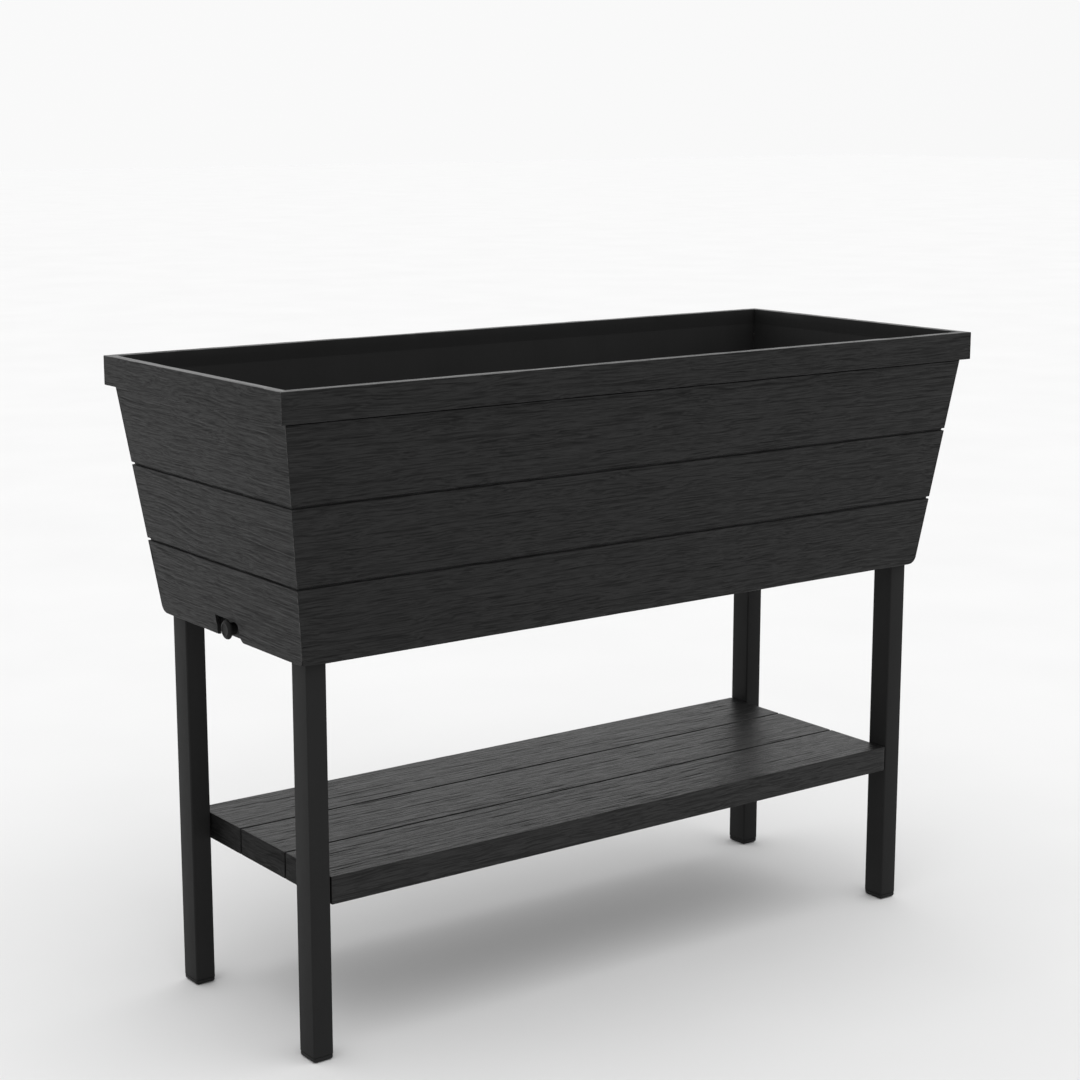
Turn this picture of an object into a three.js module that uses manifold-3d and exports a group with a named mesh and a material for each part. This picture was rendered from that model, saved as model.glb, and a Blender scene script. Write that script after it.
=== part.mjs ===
// Raised planter on legs: four leaning wood-look resin panels, mitred at the corners, round a base tray
// on four tube legs, with a slatted shelf between the legs and a screw-out drain cap at the left end.
// Millimetres. +X runs along the planter, +Y to its back, +Z up; the origin is on the ground, mid-planter.
import * as THREE from "three";
import { mergeVertices } from "three/addons/utils/BufferGeometryUtils.js";
import Module from "manifold-3d";

const wasm = await Module();
wasm.setup();

// ---- Driving dimensions ----
const FIT_GAP = 0.35; // between pieces that touch

// Planter box. All four walls have one draft, so a corner's mitre is the vertical plane |x| - |y| = CORNER.
const HEIGHT = 760;
const CORNER = 296.7;
const BOX_BOTTOM = 456.7;
const HALF_WIDTH_AT_BOTTOM = 162.5;
const DRAFT = 0.1286; // outward run of a wall for each millimetre up
const WALL = 4.5;
const WALL_BEND = 740; // above this the inner face is upright
const WALL_REACH = 240; // further than any wall stands out from the box's core

const RIM_HALF_WIDTH = 206.2;
const RIM_BOTTOM = 725.5;
const RIM_SKIN = 3;
const RIM_HOLLOW_TOP = 756.5;
const RIM_RIB_SPACING = 98;
const RIM_RIB = 2.4;
const RIM_RIB_BOTTOM = 729;
const RIM_GROOVE_BOTTOM = 721.8;
const RIM_EDGE = 1.2; // chamfer along the rim's upper edge
const RIM_WALL_INSET = 0.4; // of the wall's outer face inside the hollow rim
const RIM_COVE = [[4, 0], [1.6, 1.6], [0, 4.4]]; // under the solid rim: below the rim, out from the plank

const PLANK_JOINTS = [544.8, 634.4]; // heights of the grooves between plank courses
const GROOVE_HEIGHT = 3;
const GROOVE_DEPTH = 2.5;
const GROOVE_LIP = 0.5;
const PANEL_EDGE = 1.5; // chamfer along a panel's lower edge
const BOTTOM_CORNER_RADIUS = 10;

const LEDGE_BOTTOM = 492.35; // inner ledge that sits on the tray
const LEDGE_HEIGHT = 4;
const LEDGE_REACH = 9;

// Base tray
const TRAY_TOP = 492;
const TRAY_PLATE = 4;
const TRAY_BOTTOM = 461;
const TRAY_SIDE_GAP = 1;
const SUMP_HALF_WIDTH = 20;
const SUMP_SKIN = 2.5;
const SUMP_LOW_END = -447;
const SUMP_HIGH_END = 420;
const SUMP_HIGH_BOTTOM = 476;
const TRAY_RIB_SPACING = 110;
const TRAY_RIB_DEPTH = 12;
const TRAY_RIB = 2.5;
const TRAY_RIB_INSET = 2;
const LONG_RIB_INSET = [10, 50]; // of the two long ribs, from the legs' inner faces and centre lines

// Legs, which stand under the tray's corners
const LEG_OUTER_X = 450.9;
const LEG_OUTER_Y = 154.5;
const LEG_SIZE_X = 25.2;
const LEG_SIZE_Y = 31.9;
const LEG_WALL = 2.6;
const LEG_CORNER = 2;
const LEG_TOP = 485;
const FOOT_SEAM = 6;
const FOOT_PLUG = 18;
const FOOT_EDGE = 3;
const SOCKET_WALL = 3;
const SOCKET_BOTTOM = 459;

// Shelf
const SHELF_TOP = 212.5;
const SHELF_BOTTOM = 180.5;
const SHELF_HALF_X = 424.2;
const SHELF_HALF_Y = 154.3;
const SLATS = ["front", "middle", "back"];
const SLAT_GAP = 2.4;
const SLAT_SKIN = 3;
const SLAT_TOP_SKIN = 3.6;
const SLAT_END = 17;
const SLAT_CELLS = 8;
const SLAT_EDGE = 1.2;
const BOSS_RADIUS = 6;
const CROSSBAR_X = 258;
const CROSSBAR_SIZE = 26;
const CROSSBAR_HEIGHT = 14;
const PEG_RADIUS = 4;
const PEG_Y = 138.5;
const PEG_Z = 196.5;
const PEG_INTO_LEG = 11;
const PEG_INTO_SLAT = 13;

// Drain, on the left end
const DRAIN_Z = 467.5;
const NOTCH_BACK = 27;
const NOTCH_FRONT = -24.5;
const NOTCH_TOP = 480;
const NOTCH_INNER_RADIUS = 7;
const NOTCH_LIP_RADIUS = 13;
const KNOB_RADIUS = 11.2;
const KNOB_BARREL = 7.4;
const KNOB_FLANGE = 4.6; // thickness of the knob's wide part, from its face
const KNOB_FACE = -465.4;
const KNOB_BACK = -452.5;
const KNOB_GRIPS = 24;
const KNOB_GRIP_DEPTH = 0.4;
const KNOB_TOP_SKIN = 4.6;
const KNOB_DISH = 0.8; // depth of the hollow in the knob's face
const NOZZLE_RADIUS = 4.8;
const NOZZLE_BORE = 3;
const NOZZLE_END = -458.4;
const WASHER_THICKNESS = 1.6;
const APRON = [-34, 62]; // reach of the wall behind the knob, front and back
const APRON_FACE = -450.5;
const APRON_BOTTOM = 457;
const STRAINER_THICKNESS = 2;
const STRAINER_OVERLAP = 4;
const STRAINER_SLOTS = 14;
const STRAINER_END = 12;
const STRAINER_SLOT = [2, 9]; // half width, and distance from the middle

// Corner brackets and fasteners
const BRACKET_LEG = 30;
const BRACKET_SKIN = 3.5;
const BRACKET_BOTTOM = 498;
const BRACKET_TOP = 702;
const BRACKET_SCREW_HEIGHTS = [530, 668];
const SCREW_RADIUS = 2;
const SCREW_HEAD_RADIUS = 4;
const SCREW_HEAD_HEIGHT = 2.4;
const SCREW_HOLE = SCREW_RADIUS + FIT_GAP;
const BRACKET_SCREW_INSET = 11; // from the bracket's free edges
const BRACKET_SCREW_LENGTH = 7.4;
const LEG_SCREW_LENGTH = 11;
const LEG_SCREW_Z = 472;
const SLAT_SCREW_LENGTH = 20;

// Places that several pieces share
const CORNERS = [[-1, -1], [1, -1], [-1, 1], [1, 1]];
const LEG_CENTRE_X = LEG_OUTER_X - LEG_SIZE_X / 2;
const LEG_CENTRE_Y = LEG_OUTER_Y - LEG_SIZE_Y / 2;
const SLAT_WIDTH = (2 * SHELF_HALF_Y - (SLATS.length - 1) * SLAT_GAP) / SLATS.length;

// ---- Materials ----
const GRAINED = { color: 0x303031, roughness: 0.62, metalness: 0 };
const SMOOTH = { color: 0x2a2a2b, roughness: 0.48, metalness: 0 };
const INNER = { color: 0x242425, roughness: 0.7, metalness: 0 };
const STEEL = { color: 0xa9abad, roughness: 0.35, metalness: 1 };
const RUBBER = { color: 0x141414, roughness: 0.85, metalness: 0 };

const root = new THREE.Group();

// ---- Solids ----
function toSolid(geometry) {
  const bare = geometry.clone();
  bare.deleteAttribute("normal");
  bare.deleteAttribute("uv");
  const merged = mergeVertices(bare, 1e-3);
  const corners = merged.index.array;
  const triVerts = [];
  for (let i = 0; i < corners.length; i += 3) {
    const [a, b, c] = corners.slice(i, i + 3);
    if (a !== b && b !== c && c !== a) triVerts.push(a, b, c); // a turned solid's poles hold flat triangles
  }
  return new wasm.Manifold(
    new wasm.Mesh({
      numProp: 3,
      vertProperties: new Float32Array(merged.attributes.position.array),
      triVerts: new Uint32Array(triVerts),
    }),
  );
}

function toGeometry(solid) {
  const mesh = solid.getMesh();
  const positions = new THREE.BufferAttribute(mesh.vertProperties, 3);
  const geometry = new THREE.BufferGeometry().setAttribute("position", positions);
  return geometry.setIndex(new THREE.BufferAttribute(mesh.triVerts, 1));
}

function addPiece(name, solid, look) {
  const geometry = toGeometry(solid);
  geometry.computeVertexNormals();
  const mesh = new THREE.Mesh(geometry, new THREE.MeshStandardMaterial({ ...look, flatShading: true }));
  mesh.name = name;
  root.add(mesh);
}

function block(x0, x1, y0, y1, z0, z1) {
  const geometry = new THREE.BoxGeometry(Math.abs(x1 - x0), Math.abs(y1 - y0), Math.abs(z1 - z0));
  return toSolid(geometry.translate((x0 + x1) / 2, (y0 + y1) / 2, (z0 + z1) / 2));
}

function outline(points) {
  return new THREE.Shape(points.map(([u, v]) => new THREE.Vector2(u, v)));
}

// An outline in (y, z), extruded along X.
function prismAlongX(shape, x0, x1, curveSegments = 3) {
  const geometry = new THREE.ExtrudeGeometry(shape, { depth: x1 - x0, bevelEnabled: false, curveSegments });
  const yzx = new THREE.Matrix4().set(0, 0, 1, x0, 1, 0, 0, 0, 0, 1, 0, 0, 0, 0, 0, 1);
  return toSolid(geometry.applyMatrix4(yzx));
}

// An outline in (x, z), extruded along Y.
function prismAlongY(shape, y0, y1, curveSegments = 3) {
  const geometry = new THREE.ExtrudeGeometry(shape, { depth: y1 - y0, bevelEnabled: false, curveSegments });
  const xzy = new THREE.Matrix4().set(1, 0, 0, 0, 0, 0, -1, y1, 0, 1, 0, 0, 0, 0, 0, 1);
  return toSolid(geometry.applyMatrix4(xzy));
}

// An outline in (x, y), extruded along Z.
function prismAlongZ(shape, z0, z1, curveSegments = 3) {
  const geometry = new THREE.ExtrudeGeometry(shape, { depth: z1 - z0, bevelEnabled: false, curveSegments });
  return toSolid(geometry.translate(0, 0, z0));
}

function roundedRectangle(halfU, halfV, radius, centreU = 0, centreV = 0) {
  const [u0, u1] = [centreU - halfU, centreU + halfU];
  const [v0, v1] = [centreV - halfV, centreV + halfV];
  const shape = new THREE.Shape();
  shape.moveTo(u0 + radius, v0);
  shape.lineTo(u1 - radius, v0);
  shape.absarc(u1 - radius, v0 + radius, radius, -Math.PI / 2, 0);
  shape.lineTo(u1, v1 - radius);
  shape.absarc(u1 - radius, v1 - radius, radius, 0, Math.PI / 2);
  shape.lineTo(u0 + radius, v1);
  shape.absarc(u0 + radius, v1 - radius, radius, Math.PI / 2, Math.PI);
  shape.lineTo(u0, v0 + radius);
  shape.absarc(u0 + radius, v0 + radius, radius, Math.PI, Math.PI * 1.5);
  return shape;
}

// A solid of revolution about the line from `from` towards `direction`.
// A profile point is [distance, radius].
function turned(profile, from, direction, segments = 12) {
  const points = profile.map(([along, radius]) => new THREE.Vector2(radius, along));
  const geometry = new THREE.LatheGeometry(points, segments);
  const up = new THREE.Vector3(0, 1, 0);
  const turn = new THREE.Quaternion().setFromUnitVectors(up, new THREE.Vector3(...direction).normalize());
  geometry.applyQuaternion(turn);
  return toSolid(geometry.translate(...from));
}

function rod(radius, from, direction, length, segments = 12) {
  const profile = [[0, 0], [0, radius], [length, radius], [length, 0]];
  return turned(profile, from, direction, segments);
}

// A pan-head screw whose head's underside is at `seat`, driven along `direction`.
function screw(seat, direction, length) {
  const profile = [
    [-SCREW_HEAD_HEIGHT, 0],
    [-SCREW_HEAD_HEIGHT, SCREW_HEAD_RADIUS * 0.6],
    [-SCREW_HEAD_HEIGHT * 0.55, SCREW_HEAD_RADIUS],
    [0, SCREW_HEAD_RADIUS],
    [0, SCREW_RADIUS],
    [length - SCREW_RADIUS, SCREW_RADIUS],
    [length, 0],
  ];
  return turned(profile, seat, direction, 8);
}

const mirrorX = (solid) => solid.scale([-1, 1, 1]);
const mirrorY = (solid) => solid.scale([1, -1, 1]);

// ---- Wall panels ----
// Distance of the outer plank face from the planter's middle plane, on the long sides.
const plankFace = (z) => HALF_WIDTH_AT_BOTTOM + DRAFT * (z - BOX_BOTTOM);

// Section of a wall, from its bottom outer edge up the outside and down the inside.
function wallSection(hollowRim) {
  const innerFace = (z) => plankFace(Math.min(z, WALL_BEND)) - WALL;
  const edgeTop = BOX_BOTTOM + PANEL_EDGE;
  const points = [[plankFace(edgeTop) - PANEL_EDGE, BOX_BOTTOM], [plankFace(edgeTop), edgeTop]];
  for (const joint of PLANK_JOINTS) {
    const [low, high] = [joint - GROOVE_HEIGHT / 2, joint + GROOVE_HEIGHT / 2];
    points.push([plankFace(low), low]);
    points.push([plankFace(low) - GROOVE_DEPTH, low + GROOVE_LIP]);
    points.push([plankFace(high) - GROOVE_DEPTH, high - GROOVE_LIP]);
    points.push([plankFace(high), high]);
  }
  if (hollowRim) {
    // A shadow groove under the rim, and a rim turned down outwards like an upside-down U.
    const neck = plankFace(RIM_GROOVE_BOTTOM) - GROOVE_DEPTH;
    points.push([plankFace(RIM_GROOVE_BOTTOM), RIM_GROOVE_BOTTOM]);
    points.push([neck, RIM_GROOVE_BOTTOM + GROOVE_LIP]);
    points.push([neck, RIM_BOTTOM + 2]);
    points.push([plankFace(WALL_BEND) - RIM_WALL_INSET, WALL_BEND]);
    points.push([plankFace(WALL_BEND) - RIM_WALL_INSET, RIM_HOLLOW_TOP]);
    points.push([RIM_HALF_WIDTH - RIM_SKIN, RIM_HOLLOW_TOP]);
    points.push([RIM_HALF_WIDTH - RIM_SKIN, RIM_BOTTOM]);
  } else {
    const root = plankFace(RIM_BOTTOM - RIM_COVE[0][0]);
    for (const [below, out] of RIM_COVE) points.push([root + out, RIM_BOTTOM - below]);
  }
  points.push([RIM_HALF_WIDTH, RIM_BOTTOM]);
  points.push([RIM_HALF_WIDTH, HEIGHT - RIM_EDGE]);
  points.push([RIM_HALF_WIDTH - RIM_EDGE, HEIGHT]);
  points.push([innerFace(HEIGHT), HEIGHT]);
  points.push([innerFace(WALL_BEND), WALL_BEND]);
  const ledgeTop = LEDGE_BOTTOM + LEDGE_HEIGHT;
  points.push([innerFace(ledgeTop), ledgeTop]);
  points.push([innerFace(ledgeTop) - LEDGE_REACH, ledgeTop]);
  points.push([innerFace(ledgeTop) - LEDGE_REACH, LEDGE_BOTTOM]);
  points.push([innerFace(LEDGE_BOTTOM), LEDGE_BOTTOM]);
  points.push([innerFace(BOX_BOTTOM), BOX_BOTTOM]);
  return points;
}

// Cross-ribs inside the hollow rim, in the local frame of a wall whose outside faces -Y.
function rimRibs(halfLength) {
  const outer = -(RIM_HALF_WIDTH - RIM_SKIN / 2);
  const inner = -(plankFace(WALL_BEND) - WALL / 3);
  const top = (RIM_HOLLOW_TOP + HEIGHT) / 2;
  const count = Math.floor(halfLength / RIM_RIB_SPACING);
  const ribs = [];
  for (let i = -count; i <= count; i++) {
    const x = i * RIM_RIB_SPACING;
    ribs.push(block(x - RIM_RIB / 2, x + RIM_RIB / 2, outer, inner, RIM_RIB_BOTTOM, top));
  }
  return ribs;
}

// What is cut from a wall's lower corner to round it, for a corner edge that starts at `u` and leans out.
function cornerCut(u) {
  const r = BOTTOM_CORNER_RADIUS;
  const shape = new THREE.Shape();
  shape.moveTo(u - r, BOX_BOTTOM - 2);
  shape.lineTo(u - r, BOX_BOTTOM);
  shape.quadraticCurveTo(u, BOX_BOTTOM, u + DRAFT * r, BOX_BOTTOM + r);
  shape.lineTo(u + 2 * r, BOX_BOTTOM + r);
  shape.lineTo(u + 2 * r, BOX_BOTTOM - 2);
  return shape;
}

// The long wall at the front: its section along X, kept between the two mitre planes.
function longWall() {
  const [half, reach] = [CORNER - FIT_GAP / 2, WALL_REACH];
  const section = outline(wallSection(true).map(([d, z]) => [-d, z]));
  const between = outline([[-half, 0], [-half - reach, -reach], [half + reach, -reach], [half, 0]]);
  let wall = prismAlongX(section, -half - reach, half + reach);
  for (const rib of rimRibs(CORNER + plankFace(RIM_BOTTOM))) wall = wall.add(rib);
  wall = wall.intersect(prismAlongZ(between, 0, HEIGHT + 1));
  const cut = prismAlongY(cornerCut(CORNER + HALF_WIDTH_AT_BOTTOM), -reach, -100);
  return wall.subtract(cut).subtract(mirrorX(cut));
}

// The end wall at the left.
function endWall() {
  const [start, reach] = [CORNER + FIT_GAP / 2, WALL_REACH];
  const section = outline(wallSection(false).map(([d, z]) => [-d - CORNER, z]));
  const between = outline([[-start, 0], [-start - reach, reach], [-start - reach, -reach]]);
  const wall = prismAlongY(section, -reach, reach).intersect(prismAlongZ(between, 0, HEIGHT + 1));
  const cut = prismAlongX(cornerCut(HALF_WIDTH_AT_BOTTOM), -CORNER - reach, -CORNER - 100);
  return wall.subtract(cut).subtract(mirrorY(cut));
}

// The finger notch for the drain knob, open at the wall's bottom edge.
function drainNotch() {
  const shape = new THREE.Shape();
  shape.moveTo(NOTCH_BACK, BOX_BOTTOM - 2);
  shape.lineTo(NOTCH_BACK, NOTCH_TOP);
  shape.lineTo(NOTCH_FRONT + NOTCH_INNER_RADIUS, NOTCH_TOP);
  shape.quadraticCurveTo(NOTCH_FRONT, NOTCH_TOP, NOTCH_FRONT, NOTCH_TOP - NOTCH_INNER_RADIUS);
  shape.lineTo(NOTCH_FRONT, BOX_BOTTOM + NOTCH_LIP_RADIUS);
  shape.quadraticCurveTo(NOTCH_FRONT, BOX_BOTTOM, NOTCH_FRONT - NOTCH_LIP_RADIUS, BOX_BOTTOM);
  shape.lineTo(NOTCH_FRONT - NOTCH_LIP_RADIUS, BOX_BOTTOM - 2);
  return prismAlongX(shape, -480, -440);
}

// ---- Corner brackets ----
// Each follows its corner's lean; its walls stand FIT_GAP off the panels.
function bracket(sideX, sideY) {
  const half = HALF_WIDTH_AT_BOTTOM + DRAFT * (BRACKET_BOTTOM - BOX_BOTTOM) - WALL - FIT_GAP;
  const [x, y] = [CORNER + half, half];
  const section = outline([
    [x, y],
    [x - BRACKET_LEG, y],
    [x - BRACKET_LEG, y - BRACKET_SKIN],
    [x - BRACKET_SKIN - 4, y - BRACKET_SKIN],
    [x - BRACKET_SKIN, y - BRACKET_SKIN - 4],
    [x - BRACKET_SKIN, y - BRACKET_LEG],
    [x, y - BRACKET_LEG],
  ]);
  const height = BRACKET_TOP - BRACKET_BOTTOM;
  const geometry = new THREE.ExtrudeGeometry(section, { depth: height, bevelEnabled: false });
  const lean = new THREE.Matrix4().set(1, 0, DRAFT, 0, 0, 1, DRAFT, 0, 0, 0, 1, BRACKET_BOTTOM, 0, 0, 0, 1);
  return toSolid(geometry.applyMatrix4(lean)).scale([sideX, sideY, 1]);
}

// Seat and direction of the screws through one bracket, two into the long wall and two into the end wall.
function bracketScrews(sideX, sideY) {
  const screws = [];
  for (const z of BRACKET_SCREW_HEIGHTS) {
    const face = plankFace(z) - WALL - FIT_GAP - BRACKET_SKIN;
    const inset = BRACKET_LEG - BRACKET_SCREW_INSET;
    const [x, y] = [sideX * (CORNER + face), sideY * face];
    const back = DRAFT * SCREW_HEAD_RADIUS + 0.1; // keeps the flat head clear of the leaning face
    const toLong = [0, sideY, 0];
    const toEnd = [sideX, 0, 0];
    const longSeat = [x - sideX * inset, y - sideY * back, z];
    const endSeat = [x - sideX * back, y - sideY * inset, z];
    screws.push({ seat: longSeat, direction: toLong, into: "long" });
    screws.push({ seat: endSeat, direction: toEnd, into: "end" });
  }
  return screws;
}

// ---- Base tray ----
function tray() {
  const plateBottom = TRAY_TOP - TRAY_PLATE;
  const halfY = plankFace(plateBottom) - WALL - TRAY_SIDE_GAP;
  const halfX = halfY + CORNER;
  const floor = prismAlongZ(roundedRectangle(halfX, halfY, 3), plateBottom, TRAY_TOP);
  let body = floor;

  // Cross-ribs under the plate, from the sump to the plate's edges.
  const ribCount = Math.floor(LEG_CENTRE_X / TRAY_RIB_SPACING);
  const ribZ = [plateBottom - TRAY_RIB_DEPTH, plateBottom + 1];
  for (let i = -ribCount; i <= ribCount; i++) {
    const x = i * TRAY_RIB_SPACING;
    const ends = [TRAY_RIB_INSET - halfY, halfY - TRAY_RIB_INSET];
    body = body.add(block(x - TRAY_RIB / 2, x + TRAY_RIB / 2, ...ends, ...ribZ));
  }
  for (const side of [-1, 1]) {
    const y = side * (LEG_CENTRE_Y - LONG_RIB_INSET[1]);
    const end = LEG_OUTER_X - LEG_SIZE_X - LONG_RIB_INSET[0];
    body = body.add(block(-end, end, y - TRAY_RIB / 2, y + TRAY_RIB / 2, ...ribZ));
  }

  // Sump: a channel whose floor falls towards the drain at the left end.
  const sumpOutside = outline([
    [SUMP_LOW_END, TRAY_BOTTOM],
    [SUMP_HIGH_END, SUMP_HIGH_BOTTOM],
    [SUMP_HIGH_END, plateBottom + 1],
    [SUMP_LOW_END, plateBottom + 1],
  ]);
  const sumpInside = outline([
    [SUMP_LOW_END + SUMP_SKIN, TRAY_BOTTOM + SUMP_SKIN],
    [SUMP_HIGH_END - SUMP_SKIN, SUMP_HIGH_BOTTOM + SUMP_SKIN],
    [SUMP_HIGH_END - SUMP_SKIN, TRAY_TOP + 1],
    [SUMP_LOW_END + SUMP_SKIN, TRAY_TOP + 1],
  ]);
  body = body.add(prismAlongY(sumpOutside, -SUMP_HALF_WIDTH, SUMP_HALF_WIDTH));
  body = body.subtract(prismAlongY(sumpInside, SUMP_SKIN - SUMP_HALF_WIDTH, SUMP_HALF_WIDTH - SUMP_SKIN));

  // Apron behind the finger notch, with the nozzle that drains the sump.
  body = body.add(block(APRON_FACE, SUMP_LOW_END + SUMP_SKIN, ...APRON, APRON_BOTTOM, plateBottom + 1));
  const nozzleLength = APRON_FACE + 1 - NOZZLE_END;
  body = body.add(rod(NOZZLE_RADIUS, [NOZZLE_END, 0, DRAIN_Z], [1, 0, 0], nozzleLength, 20));
  const boreLength = SUMP_LOW_END - NOZZLE_END + 5;
  body = body.subtract(rod(NOZZLE_BORE, [NOZZLE_END - 1, 0, DRAIN_Z], [1, 0, 0], boreLength, 16));

  // Leg sockets.
  const [outX, outY] = [LEG_SIZE_X / 2 + FIT_GAP + SOCKET_WALL, LEG_SIZE_Y / 2 + FIT_GAP + SOCKET_WALL];
  const [inX, inY] = [LEG_SIZE_X / 2 + FIT_GAP, LEG_SIZE_Y / 2 + FIT_GAP];
  for (const [sx, sy] of CORNERS) {
    const [cx, cy] = [sx * LEG_CENTRE_X, sy * LEG_CENTRE_Y];
    const collar = prismAlongZ(roundedRectangle(outX, outY, 3, cx, cy), SOCKET_BOTTOM, plateBottom + 1);
    const room = roundedRectangle(inX, inY, LEG_CORNER, cx, cy);
    const bore = prismAlongZ(room, SOCKET_BOTTOM - 1, LEG_TOP + FIT_GAP);
    body = body.add(collar).subtract(bore);
    const hole = legScrewAt(sx, sy);
    body = body.subtract(rod(SCREW_HOLE, hole.seat, hole.direction, SOCKET_WALL + 1));
  }
  return body;
}

// ---- Legs ----
const sideName = (sx, sy) => (sy < 0 ? "front" : "back") + "_" + (sx < 0 ? "left" : "right");

// The screw that holds a leg in its socket, driven outwards along X.
function legScrewAt(sx, sy) {
  const socketFace = LEG_OUTER_X - LEG_SIZE_X - FIT_GAP - SOCKET_WALL;
  return { seat: [sx * (socketFace - 0.3), sy * LEG_CENTRE_Y, LEG_SCREW_Z], direction: [sx, 0, 0] };
}

function leg(sx, sy) {
  const [cx, cy] = [sx * LEG_CENTRE_X, sy * LEG_CENTRE_Y];
  const outside = roundedRectangle(LEG_SIZE_X / 2, LEG_SIZE_Y / 2, LEG_CORNER, cx, cy);
  const [inX, inY] = [LEG_SIZE_X / 2 - LEG_WALL, LEG_SIZE_Y / 2 - LEG_WALL];
  const inside = roundedRectangle(inX, inY, 0.8, cx, cy);
  const tube = prismAlongZ(outside, FOOT_SEAM, LEG_TOP).subtract(prismAlongZ(inside, 0, HEIGHT));
  const hole = legScrewAt(sx, sy);
  const screwHole = rod(SCREW_HOLE, hole.seat, hole.direction, LEG_SCREW_LENGTH);
  const pegFrom = [sx * (SHELF_HALF_X - 1), sy * PEG_Y, PEG_Z];
  const pegHole = rod(PEG_RADIUS + FIT_GAP, pegFrom, [sx, 0, 0], 8);
  return tube.subtract(screwHole).subtract(pegHole);
}

// A foot that closes the tube's lower end, with rounded edges below and a plug above.
function foot(sx, sy) {
  const [cx, cy] = [sx * LEG_CENTRE_X, sy * LEG_CENTRE_Y];
  const core = roundedRectangle(LEG_SIZE_X / 2 - FOOT_EDGE, LEG_SIZE_Y / 2 - FOOT_EDGE, LEG_CORNER, cx, cy);
  const rounded = new THREE.ExtrudeGeometry(core, {
    depth: 2 * FOOT_SEAM,
    bevelThickness: FOOT_EDGE,
    bevelSize: FOOT_EDGE,
    bevelSegments: 3,
    curveSegments: 3,
  });
  const seam = FOOT_SEAM - FIT_GAP;
  const [x0, x1, y0, y1] = [cx - LEG_SIZE_X, cx + LEG_SIZE_X, cy - LEG_SIZE_Y, cy + LEG_SIZE_Y];
  const shoe = toSolid(rounded.translate(0, 0, FOOT_EDGE)).intersect(block(x0, x1, y0, y1, -1, seam));
  const inset = LEG_WALL + FIT_GAP;
  const plugShape = roundedRectangle(LEG_SIZE_X / 2 - inset, LEG_SIZE_Y / 2 - inset, 0.8, cx, cy);
  return shoe.add(prismAlongZ(plugShape, seam - 1, FOOT_SEAM + FOOT_PLUG));
}

// ---- Shelf ----
const slatCentre = (i) => -SHELF_HALF_Y + SLAT_WIDTH / 2 + i * (SLAT_WIDTH + SLAT_GAP);

function slatScrewAt(sx, i) {
  return { seat: [sx * CROSSBAR_X, slatCentre(i), SHELF_BOTTOM + 4], direction: [0, 0, 1] };
}

// A slat is a long tray turned upside down, with cross-ribs, solid ends for the pegs and screw bosses.
function slat(i) {
  const y = slatCentre(i);
  const half = SLAT_WIDTH / 2;
  const section = outline([
    [y - half, SHELF_BOTTOM],
    [y + half, SHELF_BOTTOM],
    [y + half, SHELF_TOP - SLAT_EDGE],
    [y + half - SLAT_EDGE, SHELF_TOP],
    [y - half + SLAT_EDGE, SHELF_TOP],
    [y - half, SHELF_TOP - SLAT_EDGE],
  ]);
  let body = prismAlongX(section, -SHELF_HALF_X, SHELF_HALF_X);
  const inner = SHELF_HALF_X - SLAT_END;
  const cell = (2 * inner) / SLAT_CELLS;
  const [front, back] = [y - half + SLAT_SKIN, y + half - SLAT_SKIN];
  for (let c = 0; c < SLAT_CELLS; c++) {
    const x0 = -inner + c * cell + SLAT_SKIN / 2;
    const x1 = x0 + cell - SLAT_SKIN;
    body = body.subtract(block(x0, x1, front, back, SHELF_BOTTOM - 1, SHELF_TOP - SLAT_TOP_SKIN));
  }
  for (const sx of [-1, 1]) {
    const x = sx * CROSSBAR_X;
    const boss = [x, y, SHELF_BOTTOM + CROSSBAR_HEIGHT - 1];
    body = body.add(rod(BOSS_RADIUS, boss, [0, 0, 1], SHELF_TOP - 1 - boss[2]));
    const room = CROSSBAR_SIZE / 2 + FIT_GAP;
    const yEnd = SHELF_HALF_Y - SLAT_SKIN;
    const top = SHELF_BOTTOM + CROSSBAR_HEIGHT + 2 * FIT_GAP;
    body = body.subtract(block(x - room, x + room, -yEnd, yEnd, SHELF_BOTTOM - 1, top));
    const at = slatScrewAt(sx, i);
    body = body.subtract(rod(SCREW_HOLE, at.seat, at.direction, SLAT_SCREW_LENGTH + 1.5));
    if (SLATS[i] !== "middle") {
      const sy = Math.sign(y);
      const from = [sx * (SHELF_HALF_X + 1), sy * PEG_Y, PEG_Z];
      body = body.subtract(rod(PEG_RADIUS + FIT_GAP, from, [-sx, 0, 0], PEG_INTO_SLAT + 2));
    }
  }
  return body;
}

function crossbar(sx) {
  const x = sx * CROSSBAR_X;
  const yEnd = SHELF_HALF_Y - SLAT_SKIN - 2 * FIT_GAP;
  const [bottom, top] = [SHELF_BOTTOM + FIT_GAP, SHELF_BOTTOM + FIT_GAP + CROSSBAR_HEIGHT];
  const section = roundedRectangle(CROSSBAR_SIZE / 2, CROSSBAR_HEIGHT / 2, 1.5, x, (bottom + top) / 2);
  let body = prismAlongY(section, -yEnd, yEnd);
  for (let i = 0; i < SLATS.length; i++) {
    const at = slatScrewAt(sx, i);
    const [px, py, pz] = at.seat;
    const sink = [px, py, bottom - 1];
    body = body.subtract(rod(SCREW_HEAD_RADIUS + 0.5, sink, [0, 0, 1], pz + FIT_GAP - sink[2]));
    body = body.subtract(rod(SCREW_HOLE, [px, py, bottom], [0, 0, 1], 30));
  }
  return body;
}

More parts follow.
